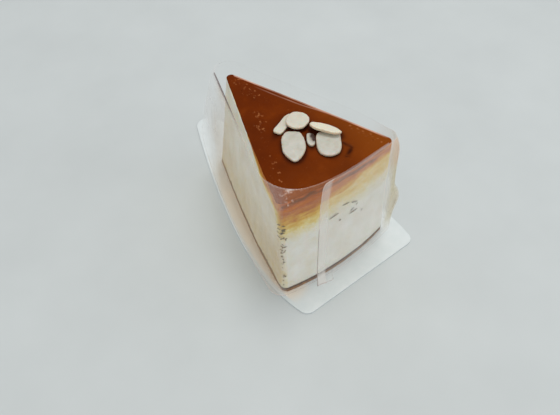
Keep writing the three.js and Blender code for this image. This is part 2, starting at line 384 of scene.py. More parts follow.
def crumb_finish():
    """Pale souffle crumb that turns yellow, tan and red-brown with how baked it is, a field that also carries
    painted shadow on the left cut, with fine pores.
    """
    finish = Finish("souffle_crumb", Roughness=0.82, Subsurface_Weight=0.12, Subsurface_Scale=0.004)
    baking_and_shadow = finish.field("browning_and_shadow")
    patches = finish.vary(finish.noise(5), -0.04, 0.04)
    specks = finish.vary(finish.noise(1.1), -0.04, 0.04)
    streaks = finish.vary(finish.noise(4, 3, 0.5, (0.5, 0.5, 2.2)), -0.1, 0.1)
    streaks = finish.math("MULTIPLY", streaks, finish.rescale(baking_and_shadow, 0.1, 0.4, 0, 1))
    uneven = finish.math("ADD", finish.math("ADD", patches, streaks), specks)
    baked = finish.ramp(finish.math("ADD", baking_and_shadow, uneven), [
        (0.0, "ecebe4"), (0.1, "ebe5cf"), (0.22, "e8d488"), (0.36, "dcaf3a"),
        (0.52, "c3770a"), (0.7, "a85005"), (0.85, "863c12"), (1.0, "4a1808")])
    mottle = finish.ramp(finish.noise(9, 4), [(0.35, "fffefb"), (0.65, "f5f0e6")])
    finish.set("Base Color", finish.blend(1.0, baked, mottle, "MULTIPLY"))
    pores = finish.rescale(finish.noise(0.9, 2, 0.5), 0.35, 0.5, 0, 1)
    grain = finish.bump(pores, 0.12, 0.5)
    finish.set("Normal", finish.bump(finish.noise(3.5, 4), 0.3, 0.5, grain))
    return finish.material


def glaze_finish():
    """Dark caramel glaze with a quiet shine, lighter in patches and specks, amber towards the right and the
    rim, pale at its far edge with a painted highlight and a painted reflection, pale round its bubbles, and
    dark at its scar and with painted shadow round the almonds."""
    finish = Finish("caramel_glaze", IOR=1.45, Specular_IOR_Level=0.02)
    patches = finish.ramp(finish.noise(14, 4), [(0.3, "5e2407"), (0.55, "692906"), (0.75, "7a3409")])
    lighter = finish.tinted(patches, "amber", "86420f")
    light_specks = finish.rescale(finish.noise(0.7, 1, 0.4), 0.74, 0.8, 0, 0.5)
    speckled = finish.blend(light_specks, lighter, colour("a86234"))
    # Painted highlight and painted reflection along the far edge.
    edged = finish.tinted(speckled, "far_edge_light", "d8a890")
    lipped = finish.tinted(edged, "lip", "b87444")
    # The dark tint carries the real scar and the painted shadow round the almonds.
    finish.set("Base Color", finish.tinted(lipped, "scar_and_shadow", "321208"))
    finish.set("Roughness", finish.vary(finish.noise(6), 0.16, 0.32))
    finish.set("Normal", finish.bump(finish.noise(2.2), 0.05, 0.5))
    return finish.material


def base_finish():
    """Thin brown baked base, crumbly, darker towards its seam with the crumb."""
    finish = Finish("baked_base", Roughness=0.9)
    crumbs = finish.ramp(finish.noise(1.6, 4), [(0.3, "6a4216"), (0.5, "8c5c26"), (0.72, "b4843e")])
    finish.set("Base Color", finish.tinted(crumbs, "seam", "44220a"))
    finish.set("Normal", finish.bump(finish.noise(0.9), 0.25, 0.8))
    return finish.material


def almond_finish():
    """Ivory almond, yellower where toasted, with a tan skin at its rim, a hollow darkened by painted shadow
    and a fine cut face.
    """
    finish = Finish("flaked_almond", Roughness=0.5, Subsurface_Weight=0.15, Subsurface_Scale=0.002)
    face = finish.ramp(finish.noise(3.5, 4), [(0.3, "bcb7a8"), (0.55, "c7c4b8"), (0.75, "d0ccc1")])
    toasted = finish.tinted(face, "toast", "e6dec8")
    rim = finish.math("ADD", finish.field("rim"), finish.vary(finish.noise(1.5), -0.25, 0.25))
    skinned = finish.blend(finish.rescale(rim, 0.6, 1.0, 0, 0.5), toasted, colour("bd9666"))
    # Painted shadow darkens the hollow.
    finish.set("Base Color", finish.tinted(skinned, "hollow", "3a1a0e"))
    finish.set("Normal", finish.bump(finish.noise(0.5), 0.05, 0.6))
    return finish.material


# Cover of painted edge highlights, painted dark edges, haze with painted glare and shadow, and blush
FILM_COVER = {"edge": 0.18, "painted_dark_edge": 0.4, "haze_and_painted_light": 0.6, "blush": 0.08}
GLINT_FLECK_COVER = 0.3
GRAZING_COVER = 0.05
STREAK_COVER = (0.02, 0.05)


def film_finish():
    """Clear film with a thin veil that drifts in streaks and thickens at a grazing look. Fields give it haze
    with a painted glare, turn it tan, on the left wall as painted shadow, gold or pink, lay painted glints on
    it and painted highlights or painted dark edges on its edges, and hide what is behind it by their own
    shares."""
    finish = Finish("clear_film", Roughness=0.1, IOR=1.5)
    # Tan tint: on the left wall it is painted shadow
    body = finish.tinted(colour("f8f8f6"), "tan_and_painted_shadow", "cdb089")
    golden = finish.tinted(body, "gold", "d5c598")
    blushed = finish.tinted(golden, "blush", "f0b086")
    # Painted glints: small bright specks on the film
    glint_flecks = finish.rescale(finish.noise(1.3, 2), 0.58, 0.7, 0, 1)
    glint_flecks = finish.math("MULTIPLY", finish.field("glint_speckle"), glint_flecks)
    # Painted highlights on the film's edges and its glint specks
    bright = finish.blend(finish.math("ADD", finish.field("edge"), glint_flecks), blushed, colour("f6e4da"))
    # Painted dark edges: dark reflections and shadow lines
    finish.set("Base Color", finish.tinted(bright, "painted_dark_edge", "5a2c22"))
    facing = finish.node("LayerWeight", {"Blend": 0.25}).outputs["Facing"]
    grazing = finish.math("MULTIPLY", facing, GRAZING_COVER)
    streaks = finish.noise(16, 3, 0.5, (1, 1, 0.25))
    thin = finish.math("ADD", finish.vary(streaks, *STREAK_COVER), grazing)
    cover = finish.math("MULTIPLY", finish.field("veil"), thin)
    cover = finish.math("ADD", cover, finish.math("MULTIPLY", glint_flecks, GLINT_FLECK_COVER))
    for field, share in FILM_COVER.items():
        cover = finish.math("ADD", cover, finish.math("MULTIPLY", finish.field(field), share))
    finish.set("Alpha", cover)
    return finish.material


def card_finish():
    """Smooth white card with faint fibre clouds, with painted bounce light from the cake, in its shadow,
    along one cut.
    """
    finish = Finish("white_card", Roughness=0.5)
    clean = finish.ramp(finish.noise(6, 5), [(0.3, "d9e0df"), (0.7, "e1e6e5")])
    # Painted bounce light, tinted by the cake, in the shadow beside its left cut.
    patchy = finish.math("MULTIPLY", finish.field("painted_bounce"), finish.vary(finish.noise(7), 0.6, 0.9))
    finish.set("Base Color", finish.blend(patchy, clean, colour("f8e6cc")))
    finish.set("Normal", finish.bump(finish.noise(0.6, 4), 0.02, 0.5))
    return finish.material


def wet_finish():
    """Damp marks where the crumb touches the film, patchy and half clear."""
    finish = Finish("damp_mark", Roughness=0.4, Specular_IOR_Level=0.1)
    finish.set("Base Color", finish.ramp(finish.noise(1.5), [(0.3, "63532c"), (0.7, "8d7d4c")]))
    patchy = finish.vary(finish.noise(1.2), 0.5, 0.9)
    finish.set("Alpha", finish.math("MULTIPLY", patchy, finish.field("depth")))
    return finish.material


# The body of the cake. Lumps and waves are triples of depth, size and seed.
BODY_COUNTS = (18, 150, 16, 130, 16, 150)
BODY_ROWS = 100
BODY_EDGE_ROWS = 7
BODY_EDGE_ANGLE = math.radians(62)
BODY_TUCK = (1.2, 0.6)
RIM_FACING = (0.5, 0.9)
CRUMB_LUMPS = ((0.22, 9, 1), (0.12, 3.5, 2))
PORE_DEPTH = 0.3
PORE_SIZE = 1.9
CREASE_DEPTH = 0.3
CREASE_SIZE = 2.2
CREASE_FADE = (22, 8)

# Browning of the crumb, from 0, pale, to 1, nearly black. Bands pair millimetres under the top with browning.
LEFT_BAND = ((4, 6.5, 9.5, 13, 17, 22, 30), (0.8, 0.66, 0.6, 0.46, 0.34, 0.18, 0))
RIGHT_BAND = ((2.5, 7, 10, 12.5), (0.66, 0.52, 0.4, 0))
RIGHT_TAIL = ((14, 28), (0.23, 0))
RIGHT_THINNING = 2.1
BAND_WAVES = ((1.3, 14, 5), (0.8, 5, 6))
BAND_CHANGE = (-17, -2)
BAND_RADIUS = CAKE_RADIUS + 0.5
SOAK_REACH = 3.5
SKIN_DEPTHS = (0.3, 10)
SKIN_FROM_RIM = (48, 18)
LINE_DEPTHS = (2.1, 2.7)
LINE_WIDTH = 1.9
DAMP_CORNER = 2.05
DAMP_HEIGHT = (52, 10)
# Painted shadow on the left cut, at its foot and at its top
LEFT_CUT_SHADOW = (0.12, 0.03)


def slice_wall(stretch, height):
    """The slice's plan at heights over its foot: each point of the bottom outline moves straight to its
    fellow on the top outline."""
    ends = wedge_points(np.stack([SLICE_BOTTOM, SLICE_TOP]), stretch)
    return mix(ends[0], ends[1], (height / SLICE_HEIGHT)[..., None])


def edge_round(stretch):
    """Radius that rounds the slice's top edge, small at the cuts and larger at the rim."""
    normal = outward(wedge_points(SLICE_TOP[None], stretch))[0]
    return mix(CUT_EDGE_ROUND, RIM_EDGE_ROUND, smooth(-normal[:, 1], 0.2, 0.9))


def crumb_browning(stretch, height, plan, normal, points):
    """How brown the crumb is. Two bands fall down the rim, the left one deep and the right one thin with a
    yellow tail, and fade into the cuts by a power of e. A skin under the glaze thins away from the rim, and
    a broken dark line, a bell curve across, runs under the rim's edge. The strongest of these holds, and the
    damp left corner or the painted shadow on the left cut, turned from the light, is added."""
    x = plan[..., 0]
    rim = smooth(-normal[..., 1], *RIM_FACING)
    from_top = SLICE_HEIGHT - height
    from_rim = BAND_RADIUS - np.linalg.norm(plan, axis=-1)
    right_half = smooth(x, *BAND_CHANGE)
    below = from_top + layered(points, BAND_WAVES)
    thinner = mix(1, RIGHT_THINNING, smooth(x, 4, 24))
    right_band = np.maximum(np.interp(below * thinner, *RIGHT_BAND), np.interp(below, *RIGHT_TAIL))
    band = mix(np.interp(below, *LEFT_BAND), right_band, right_half)
    band = band * mix(np.exp(-np.maximum(from_rim, 0) / SOAK_REACH), 1, rim)
    skin_depth = mix(*SKIN_DEPTHS, smooth(from_rim, *SKIN_FROM_RIM))
    skin = 0.56 * smooth(from_top / skin_depth, 1.1, 0.3)
    ragged = from_top - mix(*LINE_DEPTHS, right_half) - 0.6 * lumps(points, 4, 7)
    ragged = np.where(ragged < 0, 0.6 * ragged, ragged)
    line = rim * (1.02 + 0.12 * lumps(points, 3, 8)) * bell(ragged, LINE_WIDTH)
    line = line * mix(1, 0.6, smooth(x, 12, 26))
    near_corner = bell(np.minimum(stretch - DAMP_CORNER, 0), 0.2) * smooth(stretch, 3.1, 2.75)
    damp = 0.13 * near_corner * smooth(height, *DAMP_HEIGHT)
    # Painted shadow: the left cut, turned from the light, is browned a little, most at its foot.
    left_cut = smooth(-normal[..., 0], 0.6, 0.9) * mix(*LEFT_CUT_SHADOW, height / SLICE_HEIGHT)
    return np.clip(np.maximum.reduce([band, skin, line]) + np.maximum(damp, left_cut), 0, 1)


def cake_body():
    """The slice's walls and the start of its rounded top edge: the outline at each height, pushed in along
    its normals by soft lumps, by sparse pores, the tops of a finer field, and by lying creases on the rim."""
    stretch = round_stretch(BODY_COUNTS)
    radius = edge_round(stretch)
    angle = np.linspace(0, BODY_EDGE_ANGLE, BODY_EDGE_ROWS)[:, None]
    straight = np.linspace(0, 1, BODY_ROWS, endpoint=False)[:, None]
    wall = mix(BASE_HEIGHT, SLICE_HEIGHT - radius, straight)
    height = np.concatenate([wall, SLICE_HEIGHT - radius * (1 - np.sin(angle))])
    inset = np.concatenate([0 * wall, radius * (1 - np.cos(angle))])
    plan = slice_wall(stretch, height)
    normal = outward(plan)
    points = np.dstack([plan, height + CARD_THICKNESS])
    from_top = SLICE_HEIGHT - height
    rim = smooth(-normal[..., 1], *RIM_FACING)
    pores = PORE_DEPTH * smooth(lumps(points, PORE_SIZE, 3), 0.45, 0.9) * (1 - 0.7 * rim)
    creases = smooth(lumps(points * (0.25, 0.25, 1), CREASE_SIZE, 4), 0, 0.8)
    creases = CREASE_DEPTH * rim * creases * smooth(from_top, *CREASE_FADE)
    relief = (layered(points, CRUMB_LUMPS, lift=1) + pores + creases) * smooth(from_top, 0.2, 3)
    points[..., :2] -= normal * (relief + inset)[..., None]
    browning_and_shadow = crumb_browning(stretch, height, plan, normal, points)
    tucked = points[-1] - np.dstack([normal[-1:] * BODY_TUCK[0], np.full((1, len(radius)), BODY_TUCK[1])])
    rings = np.concatenate([points, tucked])
    drawn = {"browning_and_shadow": np.concatenate([browning_and_shadow, browning_and_shadow[-1:]])}
    make_stack("souffle_body", rings, crumb_finish(), ["cake"], drawn)


# The glaze
GLAZE_COUNTS = (16, 180, 16, 150, 16, 180)
GLAZE_EDGE_ROWS = 7
GLAZE_EDGE_ANGLE = math.radians(46)
GLAZE_EDGE_WAVES = ((0.14, 3, 21), (0.1, 9, 22))
GLAZE_TOP_ROWS = 104
GLAZE_TOP_SPACING = 1.15
GLAZE_CALM_ROWS = (GLAZE_EDGE_ROWS - 1, GLAZE_EDGE_ROWS + 6)
GLAZE_PROUD = 0.08
GLAZE_TUCK = (0.8, 0.25)
GLAZE_SWELL = ((0.16, 15, 23), (0.05, 5, 24))

# Runs of burst bubbles: two ends, spread and count
BUBBLE_RUNS = (
    ((1.5, -9), (0, -26), 1.3, 46),
    ((-4, -32), (-12, -47), 1.2, 34),
    ((24, -69), (27, -82), 1.5, 26),
    ((-18, -62), (-27, -82), 1.4, 12),
    ((-29, -80), (-13, -85), 1, 30),
)
BUBBLE_SEED = 11
BUBBLE_RADII = (0.28, 0.6)
BUBBLE_DEPTH = 0.2
BUBBLE_LIP = 0.45
SCAR = ((13.2, -73.4), (14.2, -77.8), (9.2, -80.6))
SCAR_WIDTH = 1.1
SCAR_DEPTH = 0.3
PAINTED_SHADOW_REACH = 0.9
FAR_EDGE_LIGHT_STRETCH = (4.9, 5.1)
REFLECTED_LINE = (5.3, 5.4, 5.7, 5.9)
REFLECTED_LINE_PARTS = (5.35, 5.6)
REFLECTED_LINE_RINGS = (0.99, 0.9)


def bubbles():
    """Middles and radii of burst bubbles: scattered by a bell curve about straight runs along the edges."""
    draw = np.random.default_rng(BUBBLE_SEED)
    middles = [
        mix(np.array(start), np.array(end), draw.random((count, 1))) + draw.normal(0, spread, (count, 2))
        for start, end, spread, count in BUBBLE_RUNS]
    middles = np.concatenate(middles)
    return middles, mix(*BUBBLE_RADII, draw.random(len(middles)) ** 2)


def distance_to_line(plan, stops):
    """Least distance from points to a line through stops, by the nearest point of each straight run."""
    runs = []
    for start, end in zip(np.array(stops[:-1]), np.array(stops[1:])):
        along = end - start
        share = np.clip((plan - start) @ along / (along @ along), 0, 1)
        runs.append(np.linalg.norm(plan - start - share[..., None] * along, axis=-1))
    return np.minimum.reduce(runs)


def flake_painted_shadows(plan):
    """Painted contact shadow of the flakes on the glaze round them: a bell curve outside each oval's border.
    """
    painted_shadows = np.zeros(plan.shape[:-1])
    for facts in FLAKES.values():
        length, width = facts["size"]
        away = plan - facts["at"][:2]
        along, across = turned(away[..., 0], away[..., 1], -math.radians(facts["turn"]))
        border = (np.hypot(along / length * 2, across / width * 2) - 1) * min(length, width) / 2
        painted_shadows = np.maximum(painted_shadows, bell(np.maximum(border, 0), PAINTED_SHADOW_REACH))
    return painted_shadows


def glaze_rings(stretch, border):
    """Rings of the glazed top, and each ring's share of its size: the upper part of the quarter circle over
    the slice's edge, with a ragged lower border, then rings that shrink to the middle under a low dome."""
    plan = border[:, :2]
    normal = outward(plan[None])[0]
    radius = edge_round(stretch)
    lowest = GLAZE_EDGE_ANGLE + layered(border, GLAZE_EDGE_WAVES)
    angle = mix(lowest, np.pi / 2, np.linspace(0, 1, GLAZE_EDGE_ROWS)[:, None])
    inset = radius * (1 - np.cos(angle)) - GLAZE_PROUD * np.cos(angle)
    rise = CAKE_TOP - radius * (1 - np.sin(angle)) + GLAZE_PROUD * np.sin(angle)
    edge = np.dstack([plan - normal * inset[..., None], rise])
    rim = edge[-1]
    middle = rim.mean(axis=0)
    share = 1 - np.linspace(0, 1, GLAZE_TOP_ROWS + 1)[1:-1, None, None] ** GLAZE_TOP_SPACING
    top = middle + (rim - middle) * share
    top[..., 2] = rim[:, 2] + DOME * (1 - share[..., 0] ** 2)
    under = edge[:1] - np.dstack([normal[None] * GLAZE_TUCK[0], np.full((1, len(plan)), GLAZE_TUCK[1])])
    ring_share = np.concatenate([np.ones(len(under) + len(edge)), share[:, 0, 0]])[:, None]
    return np.concatenate([under, edge, top]), ring_share


def far_edge_lights(stretch, border, ring_share):
    """The broken painted highlight along the far cut, and a fainter line that parts from it, a painted
    reflection of the film's edge, a bell curve across.
    """
    place = mix(*REFLECTED_LINE_RINGS, smooth(stretch, *REFLECTED_LINE_PARTS)) + 0.01 * lumps(border, 9, 28)
    line = bell(ring_share - place, 0.016) * window(stretch, *REFLECTED_LINE)
    pale = np.maximum(smooth(ring_share, 0.975, 0.99), 0.7 * line)
    return smooth(stretch, *FAR_EDGE_LIGHT_STRETCH) * (0.6 + 0.4 * lumps(border, 7, 26)) * pale


def glaze_lid():
    """The glazed top with its marks: burst bubbles are bowls with a raised lip, two bell curves by the
    distance from the middle, and the scar is a bell curve across a bent line."""
    stretch = round_stretch(GLAZE_COUNTS)
    border = np.column_stack([wedge_points(SLICE_TOP[None], stretch)[0], 0 * stretch])
    rings, ring_share = glaze_rings(stretch, border)
    flat = rings[..., :2]
    calm = smooth(np.arange(len(rings)), *GLAZE_CALM_ROWS)[:, None]
    middles, radii = bubbles()
    reach = np.linalg.norm(flat[:, :, None] - middles, axis=-1) / radii
    bowls = bell(reach, 1) - BUBBLE_LIP * bell(reach - 1.25, 0.35)
    pits = BUBBLE_DEPTH * (bowls * radii / radii.max()).sum(axis=-1)
    lip = bell(reach - 0.8, 0.45).max(axis=-1) * smooth(lumps(rings, 0.7, 27), 0, 0.6)
    scar = bell(distance_to_line(flat, SCAR), SCAR_WIDTH) * (0.6 + 0.5 * lumps(rings, 1.2, 25))
    swell = layered(rings * (1, 1, 0), GLAZE_SWELL)
    rings[..., 2] += calm * (swell - pits - SCAR_DEPTH * scar)
    drawn = {
        "far_edge_light": far_edge_lights(stretch, border, ring_share),
        "lip": calm * np.clip(lip, 0, 1),
        # The scar is a real dark mark; round the flakes the darkening is painted shadow.
        "scar_and_shadow": calm * np.clip(np.maximum(scar, 0.8 * flake_painted_shadows(flat)), 0, 1),
        "amber": 0.7 * smooth(flat[..., 0], 4, 28) + 0.25 * smooth(flat[..., 1], -60, -88),
    }
    make_stack("caramel_glaze", rings, glaze_finish(), [], drawn)


# The base
BASE_ROWS = 9
BASE_CRUMBS = ((0.12, 2.2, 31), (0.1, 1, 32))
SEAM_HEIGHT = (0.8, 1.9)


def baked_base():
    """The thin base: the slice's outline carried up through its height, pushed in by crumbs."""
    stretch = round_stretch(BODY_COUNTS)
    height = np.repeat(np.linspace(0, BASE_HEIGHT, BASE_ROWS)[:, None], len(stretch), axis=1)
    plan = slice_wall(stretch, height)
    points = np.dstack([plan, height + CARD_THICKNESS])
    points[..., :2] -= outward(plan) * layered(points, BASE_CRUMBS, lift=1)[..., None]
    seam = 0.85 * smooth(height + 0.5 * lumps(points, 3, 33), *SEAM_HEIGHT)
    make_stack("baked_base", points, base_finish(), ["base_layer"], {"seam": seam})


# The strip of film. Its stretch runs on past 6: the tip is 6 to 7 and the left side 7 to 8.
FILM_COUNTS = {"outer": 90, "corner": 34, "side": 110, "tip": 40, "inner": 60}
FILM_ROWS = 62
FILM_BORDERS = (0, 0.2, 0.55, 1)
FILM_FIRST_ROW = 2
FILM_THICKNESS = 0.18
FILM_WIDTH = 71.5
FILM_SEAT = 0.4
FILM_SHOULDER_SHARE = 0.91
FILM_DIP = 4
FILM_DIP_REACH = 16
FILM_LAP = 0.8
FILM_OUTER_END = {"share": (0, 0.9, 1), "x": (-14.5, -16.5, -11.8)}
FILM_OUTER_RUN = 0.2
FILM_INNER_END = 0.93
FILM_CURL = 1.2
FILM_CURL_RUN = 0.06
FILM_END_ROUND = 3.5
RIPPLE_DEPTHS = (0.9, 0.25)
FLAP = {"depth": 3, "height": 5, "width": 8.5, "end": 10.5}
BUCKLE = {"stretch": 4.75, "reach": 0.5, "height": 24, "spread": 9, "depth": 4}
TUCK = {"height": 46, "spread": 14, "depth": 1.8}

# Marks on the film: places and windows by stretch, bands in millimetres
FAR_WALL = (4.9, 5.1, 6.3, 6.7)
LEFT_TOP = (6.9, 7.0, 7.55, 7.85)
LEFT_FOOT = (7.1, 7.25, 8.8, 9.0)
FRONT_LINE = (7.9, 8.2, 9.6, 9.95)
FRONT_TOP = (8.4, 8.8, 9.3, 9.5)
OUTER_FRONT = (4.6, 4.1)
CORNER_END = (5.2, 4.9)
CORNER_X = (27, 33)
LEFT_START = (7.05, 7.4)
LEFT_FADING = (8.2, 8.5)
LEFT_END = (8.8, 9)
NEAR_TIP = (7.6, 7.3)
GLARE = 7.12
GLINT = 8.72
GLINT_SPECKLE = 8.75
FOLD = 4.62
FOLD_HEIGHT = 17
END_EDGE = 0.5
END_BAND = (5.5, 4)
DARK_BORDER = (1.3, 0.5)


def film_outline(share):
    """The film's outlines at shares of its width: from foot to shoulder, then from shoulder to top."""
    share = np.asarray(share)[:, None]
    lower = mix(FILM_FOOT, FILM_SHOULDER, share / FILM_SHOULDER_SHARE)
    upper = mix(FILM_SHOULDER, FILM_TOP, (share - FILM_SHOULDER_SHARE) / (1 - FILM_SHOULDER_SHARE))
    return np.where(share < FILM_SHOULDER_SHARE, lower, upper)


def film_route(outlines, share):
    """Stretch values along the strip at each height, from the outer end, which stands upright on the front,
    by the right corner, the far side, the tip, the left side and the left corner to the inner end."""
    outer = on_front(outlines, np.interp(share, FILM_OUTER_END["share"], FILM_OUTER_END["x"])[:, None])
    start = mix(outer, 4, np.linspace(0, 1, FILM_COUNTS["outer"], endpoint=False) ** 1.25)
    runs = (("corner", 4), ("side", 5), ("tip", 6), ("side", 7), ("corner", 8))
    rest = [first + np.linspace(0, 1, FILM_COUNTS[run], endpoint=False) for run, first in runs]
    rest.append(9 + FILM_INNER_END * np.linspace(0, 1, FILM_COUNTS["inner"]))
    rest = np.concatenate(rest)
    return np.concatenate([start, np.broadcast_to(rest, (len(outlines), len(rest)))], axis=1)


def film_grid():
    """Places on the film before it bulges, in rows up its width and columns along its length: share of the
    width, stretch, share of the length, distance from the outer end where that is near, plan and height. The
    top edge dips by a bell curve at the right corner and ends in a quarter circle."""
    borders = np.array(FILM_BORDERS)
    between = np.linspace(FILM_FIRST_ROW, FILM_WIDTH - FILM_FIRST_ROW, FILM_ROWS - 2 * len(borders))
    share = np.concatenate([borders, between, FILM_WIDTH - borders[::-1]]) / FILM_WIDTH
    outlines = film_outline(share)
    stretch = film_route(outlines, share)
    plan = wedge_points(outlines, stretch)
    run = np.linspace(0, 1, stretch.shape[1])
    from_end = np.where(run < FILM_OUTER_RUN, np.linalg.norm(plan - plan[:, :1], axis=-1), np.inf)
    right_corner = FILM_TOP[4:6]
    dip = FILM_DIP * bell(np.linalg.norm(plan - right_corner, axis=-1), FILM_DIP_REACH)
    short = np.clip(FILM_END_ROUND - from_end, 0, FILM_END_ROUND)
    rounding = FILM_END_ROUND - np.sqrt(FILM_END_ROUND ** 2 - short ** 2)
    rise = share[:, None]
    height = CARD_THICKNESS + FILM_SEAT + rise * (FILM_WIDTH - dip - rounding)
    return rise, stretch, run, from_end, plan, height


def film_relief(grid):
    """How far the film stands out from its outlines: a lap at its outer end, whose foot curls away and ends
    in a small flap, ripples that only stand outwards and die away at the borders, and a buckle at the right
    corner, drawn in by a tuck above it."""
    rise, stretch, run, from_end, plan, height = grid
    lap = FILM_LAP * (1 - smooth(run, 0.1, 0.4))
    curl = FILM_CURL * (1 - rise) ** 2 * (1 - smooth(run, 0, FILM_CURL_RUN))
    flap = mix(0.3, 1, smooth(from_end, 0, FLAP["width"])) * smooth(from_end, FLAP["end"], FLAP["width"])
    flap = flap * FLAP["depth"] * np.exp(-rise * FILM_WIDTH / FLAP["height"])
    solid = np.dstack([plan, height])
    ripple = RIPPLE_DEPTHS[0] * (1 + lumps(solid * (1, 1, 0.35), 17, 41))
    ripple = ripple + RIPPLE_DEPTHS[1] * (1 + lumps(solid * (1, 1, 0.5), 6, 42))
    free = mix(0.25, 1, smooth(np.abs(stretch - 6.5), 1.6, 0.4))
    ripple = ripple * free * smooth(1 - rise, 0, 0.04) * smooth(rise, 0, 0.05)
    along = bell(stretch - BUCKLE["stretch"], BUCKLE["reach"])
    buckle = BUCKLE["depth"] * along * bell(height - BUCKLE["height"], BUCKLE["spread"])
    tuck = TUCK["depth"] * along * bell(height - TUCK["height"], TUCK["spread"])
    return lap + curl + flap + ripple + buckle - tuck


def film_edges(grid):
    """Fields of the film's painted highlights and painted dark edges: steps across its borders and its outer
    end, a painted highlight but for the left top edge and the end's lower part, which are painted dark, with
    a small painted glint. A leaning fold at the buckle and the flap's lines are painted shadow lines."""
    rise, stretch, _, from_end, _, height = grid
    from_top = (1 - rise) * FILM_WIDTH
    borders = smooth(np.minimum(rise * FILM_WIDTH, from_top), FILM_BORDERS[2], 0)
    end = np.maximum(1 - from_end / END_EDGE, 0)
    left_top = window(stretch, *LEFT_TOP) * (rise > 0.9)
    front_line = window(stretch, *FRONT_LINE) * (rise > 0.9)
    left_foot = window(stretch, *LEFT_FOOT) * (rise < 0.1)
    far_wall = window(stretch, *FAR_WALL)
    dark_end = 0.7 * end * smooth(rise, 0.68, 0.62)
    bright = np.maximum(borders, end) * (1 - left_top) * (1 - dark_end)
    bright = bright * (1 - 0.45 * front_line) * (1 - 0.9 * far_wall) * (1 + 2 * left_foot)
    # Painted highlight: a small glint on the front top edge
    glint = bell(stretch - GLINT, 0.05) * bell(rise - 0.996, 0.004)
    dark = smooth(from_top, *DARK_BORDER) * left_top + dark_end
    fold = bell(stretch - FOLD - 0.012 * (height - 16), 0.045) * bell(height - FOLD_HEIGHT, 4)
    flap_fold = bell(from_end - FLAP["width"] - 0.8, 0.7) * smooth(rise, 0.12, 0.07)
    flap_foot = smooth(from_end, FLAP["end"], FLAP["width"]) * smooth(rise, 0.012, 0.004)
    return {
        "edge": bright + 1.6 * glint,
        "painted_dark_edge": dark + 1.2 * fold + 0.45 * flap_fold + 0.25 * flap_foot,
    }


def film_tints(grid):
    """Fields of the film's haze with painted glare and painted shadow, its tan tint with painted shadow,
    gold, blush, painted glint specks and thin veil. The band by the outer end, the right corner, the outer
    layer on the front and the left wall are each a smooth step or window along the film times steps up it,
    and fine streaks run up the left wall. The glare near the tip is a painted reflection, and the haze and
    tan on the left wall are painted shadow."""
    rise, stretch, _, from_end, plan, height = grid
    end_band = smooth(from_end, *END_BAND)
    end_foot = end_band * smooth(rise, 0.14, 0.08)
    outer = smooth(stretch, *OUTER_FRONT)
    outer_milk = outer * smooth(rise, 0.12, 0.22) * (1 - 0.5 * smooth(rise, 0.6, 0.75))
    outer_blush = outer * (1 - 0.8 * end_band) * smooth(rise, 0.72, 0.85)
    front_blush = window(stretch, *FRONT_TOP) * smooth(rise, 0.89, 0.92)
    corner = smooth(plan[..., 0], *CORNER_X) * smooth(stretch, *CORNER_END) * smooth(rise, -0.05, 0.2)
    corner_milk = corner * (1 - 0.5 * smooth(rise, 0.75, 0.95))
    low = smooth(rise, 0.8, 0.5)
    left_wall = window(stretch, *LEFT_START, mix(*LEFT_FADING, low), mix(*LEFT_END, low))
    near_tip = smooth(stretch, *NEAR_TIP)
    near_foot = smooth(rise, 0.25, 0.08)
    streak = lumps(np.dstack([110 * stretch, 8 * rise + 0 * stretch, 0 * stretch]), 4, 43)
    # Painted shadow: the left wall is hazed and tinted tan where the slice's left cut is turned from the
    # light.
    left_shadow_haze = left_wall * mix(0.7 + 0.3 * near_tip, 1.25, low) * (1 - 0.15 * near_foot) * (1 + 0.1 * streak)
    left_warm_shadow = left_wall * mix(0.5 + 0.3 * near_tip, 1, low) * (1 - 0.5 * near_foot)
    # Painted reflection: a glare on the film near the tip.
    glare = bell(stretch - GLARE, 0.16) * bell(rise - 0.6, 0.24)
    haze_and_painted_light = glare + 0.36 * end_band + 0.6 * end_foot + 0.5 * corner_milk + 0.16 * outer_milk + 0.26 * left_shadow_haze
    return {
        "haze_and_painted_light": np.clip(haze_and_painted_light, 0, 1),
        "tan_and_painted_shadow": np.clip(left_warm_shadow + 0.25 * outer, 0, 1),
        "gold": corner * (1 - 0.4 * bell(height - BUCKLE["height"], BUCKLE["spread"])),
        "blush": np.clip(front_blush + 0.6 * outer_blush, 0, 1),
        "glint_speckle": bell(stretch - GLINT_SPECKLE, 0.16) * smooth(rise, 0.84, 0.9),
        "veil": 1 - 0.8 * window(stretch, *FAR_WALL),
    }


def wrapped_film():
    """The strip of film: its middle surface is the grid of its outlines moved out by its relief, and its wall
    is that surface moved half a thickness out and in along its normals, closed at its borders."""
    grid = film_grid()
    *_, plan, height = grid
    normal = outward(plan, closed=False)
    relief = film_relief(grid)
    walls = [
        np.dstack([plan + normal * (relief + side * FILM_THICKNESS / 2)[..., None], height])
        for side in (1, -1)]
    loops = np.concatenate([walls[0][::-1], walls[1]]).swapaxes(0, 1)
    stations, size = loops.shape[:2]
    level = np.arange(FILM_ROWS - 1)
    inner = size - 1 - level
    first_cap = np.stack([level, inner, inner - 1, level + 1], axis=-1)
    last_cap = np.stack([level, level + 1, inner - 1, inner], axis=-1) + (stations - 1) * size
    faces = np.concatenate([ring_quads(stations, size), first_cap, last_cap]).tolist()
    fields = {
        name: np.concatenate([part[::-1], part]).swapaxes(0, 1).ravel()
        for name, part in {**film_edges(grid), **film_tints(grid)}.items()}
    film = make_piece("cake_film", loops.reshape(-1, 3), faces, film_finish(), ["film"], fields)
    film.visible_shadow = False
    film.visible_diffuse = False


# The almonds
FLAKE_ROWS = 40
FLAKE_COLUMNS = 120
FLAKE_THICKNESS = 1.5
FLAKE_SINK = 0.35
FLAKE_BOW = {"ends": 0.35, "middle": 0.12}
FLAKE_RIM_WAVES = ((0.035, 0.45, 51), (0.02, 0.15, 52))
HOLLOW = {"at": (-1.5, 1.2), "reach": (2.5, 1.3), "depth": 0.7}


def swollen(value, power):
    """A value's size raised to a power, with its sign kept."""
    return np.sign(value) * np.abs(value) ** power


